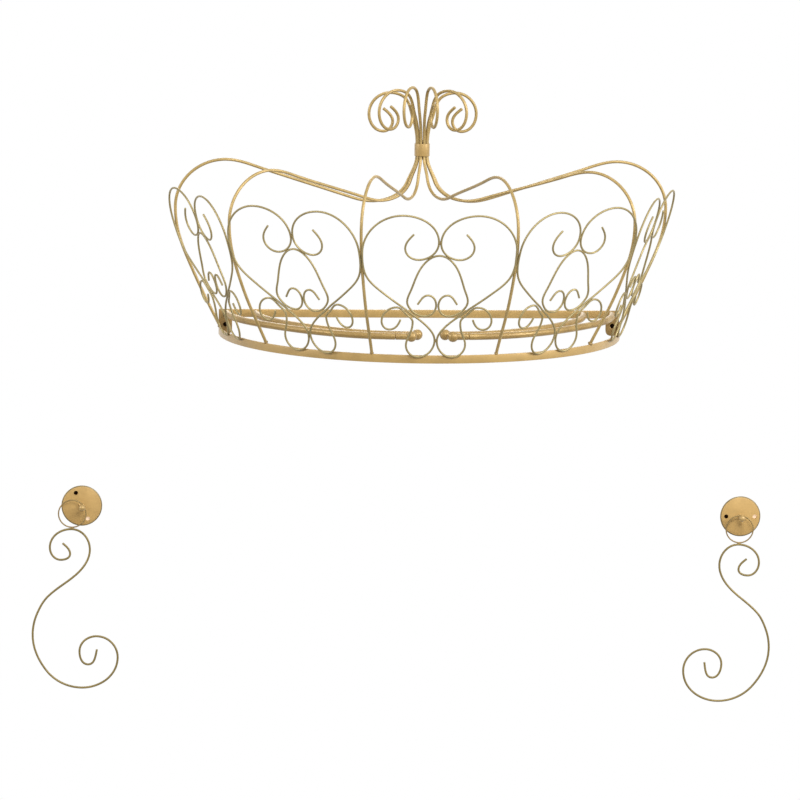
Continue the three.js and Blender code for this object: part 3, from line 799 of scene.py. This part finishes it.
# The noise seldom leaves the range from 0.3 to 0.7
bead_rise = add_node(weld_beads, "ShaderNodeMapRange", {
    "Value": bead_noise.outputs["Fac"], "From Min": 0.3, "From Max": 0.7,
    "To Min": 0.0, "To Max": bead_in["Lump"]})
bead_normal = add_node(weld_beads, "GeometryNodeInputNormal")
bead_offset = add_node(weld_beads, "ShaderNodeVectorMath", {
    0: bead_normal.outputs["Normal"], "Scale": bead_rise.outputs["Result"]}, operation="SCALE")
bead_lumpy = add_node(weld_beads, "GeometryNodeSetPosition", {
    "Geometry": bead_solid.outputs["Geometry"], "Offset": bead_offset.outputs["Vector"]})
end_tree(weld_beads, bead_lumpy.outputs["Geometry"], bead_in["Material"])


def touches(first, second, nearness):
    """Places where two centre lines come within a distance, and the first line's direction there."""
    tree = KDTree(len(second))
    for k, point in enumerate(second):
        tree.insert(point, k)
    tree.balance()
    found = [(tree.find(p)[2], k) for k, p in enumerate(first)]
    near = sorted((d, k) for d, k in found if d < nearness)
    spots = []
    for _, k in near:
        place = (Vector(first[k]) + tree.find(first[k])[0]) / 2
        if all((place - spot).length > bead_spread for spot, _ in spots):
            ahead = Vector(first[min(k + 1, len(first) - 1)]) - Vector(first[max(k - 1, 0)])
            spots.append((place, ahead.normalized()))
    return spots


def add_beads(name, body, spots, width=bead_width, length=bead_length, material=bead_paint):
    """Weld beads at places, each laid along its own direction."""
    beads = grow(
        name, [s for s, _ in spots], [], weld_beads, {"heading": [list(h) for _, h in spots]},
        Length=length, Width=width, Lump=bead_lump, Seed=bead_seed, Material=material)
    finish_piece(beads, body)


panel_spots, rib_spots = [], []
for i in range(1, rib_count):
    left, right, drop = (
        lines[f"panel_{i}_{part}"] for part in ("left_scroll", "right_scroll", "teardrop"))
    panel_spots += touches(left, right, 2 * scroll_radius + bead_reach)
    panel_spots += touches(left, drop, 2 * scroll_radius + bead_reach)
    panel_spots += touches(right, drop, 2 * scroll_radius + bead_reach)
    rib_spots += touches(left, lines[f"rib_{i}"], scroll_radius + rib_radius + bead_reach)
    rib_spots += touches(right, lines[f"rib_{i + 1}"], scroll_radius + rib_radius + bead_reach)
add_beads("panel_welds", "crown", panel_spots)
add_beads("rib_welds", "crown", rib_spots)

# Each panel's two loops lie on the strap's outer face, and each rib stands on its upper edge
loop_bead_width = 3.2 * MM
loop_bead_length = 6 * MM
foot_bead_margin = 1.8 * MM
foot_bead_length = 4 * MM

strap_spots = []
for i in range(1, rib_count):
    for part in ("left_scroll", "right_scroll"):
        line = lines[f"panel_{i}_{part}"]
        gaps = np.hypot(line[:, 0], line[:, 1]) - strap_outer_radius
        low = np.abs(line[:, 2] + strap_drop) < strap_height / 2 + scroll_radius
        k = int(np.argmin(np.where(low, gaps, 1)))
        spot = Vector(line[k])
        spot.xy *= 1 - gaps[k] / 2 / spot.xy.length
        strap_spots.append((spot, Vector(line[k + 1] - line[k - 1]).normalized()))
add_beads("loop_welds", "crown", strap_spots, loop_bead_width, loop_bead_length)
feet = [lines[f"rib_{i}"] for i in range(1, rib_count + 1)]
feet = [line if line[0][2] < line[-1][2] else line[::-1] for line in feet]
foot_spots = [(Vector(foot[0]), Vector(foot[1] - foot[0]).normalized()) for foot in feet]
add_beads(
    "foot_welds", "crown", foot_spots, 2 * rib_radius + foot_bead_margin, foot_bead_length)

# The rods' wall ends are welded all round, the flat bars' joints along their height
rod_bead_margin = 2 * MM
rod_bead_length = 4 * MM
seam_width = 2.4 * MM
seam_margin = 2 * MM

rod_ends = [lines[f"{rod}_rod"] for rod in rod_names]
end_spots = [(Vector(end[0]), Vector(end[1] - end[0]).normalized()) for end in rod_ends]
add_beads("rod_welds", "crown", end_spots, 2 * rod_radius + rod_bead_margin, rod_bead_length)
up = Vector((0, 0, 1))
seam_spots = []
for side in (-1, 1):
    seam_spots.append((Vector((side * bar_end, -strap_thickness, 0)), up))
    seam_spots.append((
        Vector((side * (strap_outer_radius - strap_thickness), strap_end, -strap_drop)), up))
seam_spots.append((Vector((0, collar_high.y, collar_middle)), up))
add_beads("seam_welds", "crown", seam_spots, seam_width, strap_height - seam_margin)

# Inside the collar's two mouths the wires are joined to each other by beads in a near-black brown, which
# darkens the gaps between the wires there
near_black_mouth_paint = gold_paint(
    "near_black_paint_in_collar_mouths", "#4E3519", "#3A2612",
    metallic=0.2, roughness=0.6, peel_height=0.05 * MM, coat=0.1)
mouth_reach = 2 * MM
mouth_bead_width = 2.6 * MM
mouth_bead_length = 7 * MM

mouth_spots = []
for height in (collar_foot - mouth_reach, collar_foot + collar_height + mouth_reach):
    passing = []
    for i in range(1, rib_count + 1):
        line = lines[f"rib_{i}"]
        # The wire crosses this height in the collar and again in its curl
        crossings = [
            a + (b - a) * (height - a[2]) / (b[2] - a[2])
            for a, b in zip(line, line[1:]) if (a[2] - height) * (b[2] - height) < 0
        ]
        passing.append(Vector(min(crossings, key=lambda c: math.hypot(c[0], c[1] - collar_axis))))
    mouth_spots += [((a + b) / 2, up) for a, b in zip(passing, passing[1:])]
add_beads(
    "collar_mouth_welds", "crown", mouth_spots, mouth_bead_width, mouth_bead_length, near_black_mouth_paint)

for label in ("left", "right"):
    spots = touches(
        lines[f"{label}_holdback_hook"], lines[f"{label}_holdback_ring"],
        hook_radius + ring_wire_radius + bead_reach)
    add_beads(f"{label}_ring_weld", f"{label}_hook", spots)


# Wall behind the screw holes: small matt discs of plaster, seen through the holes alone and only from the
# front. Four are near black, which is painted shade between steel and wall, and the other two are pale and
# glow, which is painted light that reaches them.
patch_margin = 1 * MM
patch_gap = 0.3 * MM
patch_corners = 32
plaster_grain = 1 * MM


def plaster(name, dark, light, glow):
    """Wall plaster, a matt powdery coat with a fine grain. It isn't there from behind.

    Its dark tones are painted shade, its pale tones painted light, and the glow is painted light, for the
    daylight that creeps in between the plate and the wall.
    """
    material, tree = blank_material(name)
    place = add_node(tree, "ShaderNodeTexCoord").outputs["Object"]
    grain = add_node(tree, "ShaderNodeTexNoise", {"Vector": place, "Scale": 1 / plaster_grain})
    tone = add_node(tree, "ShaderNodeMix", {
        "Factor": grain.outputs["Fac"], 6: srgb(dark), 7: srgb(light)}, data_type="RGBA")
    matt = add_node(tree, "ShaderNodeBsdfDiffuse", {"Color": tone.outputs[2]})
    seen_here = add_node(tree, "ShaderNodeLightPath").outputs["Is Camera Ray"]
    seen_glow = add_node(tree, "ShaderNodeMath", {0: seen_here, 1: glow}, operation="MULTIPLY")
    painted_light_glow = add_node(tree, "ShaderNodeEmission", {
        "Color": tone.outputs[2], "Strength": seen_glow.outputs["Value"]})
    wall = add_node(tree, "ShaderNodeAddShader", {0: matt.outputs["BSDF"], 1: painted_light_glow.outputs["Emission"]})
    nothing = add_node(tree, "ShaderNodeBsdfTransparent")
    from_behind = add_node(tree, "ShaderNodeNewGeometry").outputs["Backfacing"]
    one_sided = add_node(tree, "ShaderNodeMixShader", {
        0: from_behind, 1: wall.outputs["Shader"], 2: nothing.outputs["BSDF"]})
    add_node(tree, "ShaderNodeOutputMaterial", {"Surface": one_sided.outputs["Shader"]})
    return material


# The near-black plaster is painted shade; the pale plaster and its glow are painted light
painted_shade_wall = plaster("plaster_painted_with_shade", "#1B0F08", "#2A1A10", glow=0.0)
painted_light_wall = plaster("plaster_painted_with_light", "#E2C6A8", "#EED8BE", glow=0.75)
patches = [
    (Vector((side * (tab_inner + tab_width / 2), 0, -tab_hole_drop)), tab_hole_radius, painted_shade_wall)
    for side in (-1, 1)
]
for label in ("left", "right"):
    for spot, wall in zip(hole_spots[label], (painted_shade_wall, painted_light_wall)):
        patches.append((spot, plate_hole_radius, wall))


def flat_disc(name, radius, corners, place, material):
    """A flat disc, which faces up until its place turns it."""
    disc = bmesh.new()
    bmesh.ops.create_circle(disc, cap_ends=True, radius=radius, segments=corners)
    disc.transform(place)
    mesh = bpy.data.meshes.new(name)
    disc.to_mesh(mesh)
    disc.free()
    mesh.materials.append(material)
    return add_object(name, mesh)


facing_out = Matrix.Rotation(math.pi / 2, 4, "X")
for k, (spot, radius, wall) in enumerate(patches):
    behind = Matrix.Translation(spot - outward * patch_gap)
    patch = flat_disc(
        f"wall_patch_{k}", radius + patch_margin, patch_corners, behind @ facing_out, wall)


# Floor: a plain pale studio floor well below the crown, which hangs high on a wall.
# The camera and the metal's reflections see it as white paper, and it keeps a soft shadow, which runs
# out towards the edge.
floor_height = -2.1
floor_radius = 3.5
floor_corners = 64
fade_start = 0.9
fade_end = 3.3
shadow_share = 0.35


def seen_rays(tree):
    """1 for what the camera sees, straight, in a reflection or through glass, and 0 for other light."""
    ray = add_node(tree, "ShaderNodeLightPath").outputs
    straight_or_mirrored = add_node(tree, "ShaderNodeMath", {
        0: ray["Is Camera Ray"], 1: ray["Is Glossy Ray"]}, operation="MAXIMUM")
    return add_node(tree, "ShaderNodeMath", {
        0: straight_or_mirrored.outputs["Value"], 1: ray["Is Transmission Ray"]},
        operation="MAXIMUM").outputs["Value"]


# Matt paper, which glows to the camera as evenly as an overlit studio floor does
floor_paper, paper_tree = blank_material("white_paper_floor")
paper_matt = add_node(paper_tree, "ShaderNodeBsdfDiffuse", {"Color": srgb("#BEBCB8")})
paper_glow = add_node(paper_tree, "ShaderNodeEmission", {"Color": srgb("#FFFFFF"), "Strength": 1.0})
paper_place = add_node(paper_tree, "ShaderNodeTexCoord").outputs["Object"]
from_middle = add_node(paper_tree, "ShaderNodeVectorMath", {0: paper_place}, operation="LENGTH")
white_share = add_node(paper_tree, "ShaderNodeMapRange", {
    "Value": from_middle.outputs["Value"], "From Min": fade_start, "From Max": fade_end,
    "To Min": 1 - shadow_share, "To Max": 1.0}, interpolation_type="SMOOTHSTEP")
seen_share = add_node(paper_tree, "ShaderNodeMath", {
    0: seen_rays(paper_tree), 1: white_share.outputs["Result"]}, operation="MULTIPLY")
paper = add_node(paper_tree, "ShaderNodeMixShader", {
    0: seen_share.outputs["Value"], 1: paper_matt.outputs["BSDF"], 2: paper_glow.outputs["Emission"]})
add_node(paper_tree, "ShaderNodeOutputMaterial", {"Surface": paper.outputs["Shader"]})
floor = flat_disc(
    "studio_floor", floor_radius, floor_corners, Matrix.Identity(4), floor_paper)
floor.location.z = floor_height


# Studio: white all round for what the camera and the metal see, dim for what lights the paint.
# Large soft lamps stand at the left, at the right and in front, with a weak one above and one behind.
room_light = 0.08
world = bpy.data.worlds.new("white_studio")
world.use_nodes = True
scene.world = world
world_tree = world.node_tree
world_tree.nodes.clear()
world_level = add_node(world_tree, "ShaderNodeMapRange", {
    "Value": seen_rays(world_tree), "To Min": room_light, "To Max": 1.0})
world_back = add_node(world_tree, "ShaderNodeBackground", {
    "Color": srgb("#FFFFFF"), "Strength": world_level.outputs["Result"]})
add_node(world_tree, "ShaderNodeOutputWorld", {"Surface": world_back.outputs["Background"]})

lamp_aim = Vector((0, -0.1, -0.1))
for name, place, size, watts in (
    ("lamp_top", (0.0, -1.2, 3.2), 1.6, 12),
    ("lamp_left", (-4.1, -1.3, 1.6), 1.6, 78),
    ("lamp_right", (4.0, -2.0, 1.8), 1.6, 150),
    ("lamp_front", (0.9, -4.4, 2.6), 2.0, 126),
    ("lamp_back", (0.0, 3.6, 2.0), 2.0, 30),
):
    light = bpy.data.lights.new(name, "AREA")
    light.shape = "DISK"
    light.size = size
    light.energy = watts
    lamp = add_object(name, light)
    lamp.location = place
    lamp.rotation_euler = (lamp_aim - Vector(place)).to_track_quat("-Z", "Y").to_euler()

scene.view_settings.view_transform = "Standard"
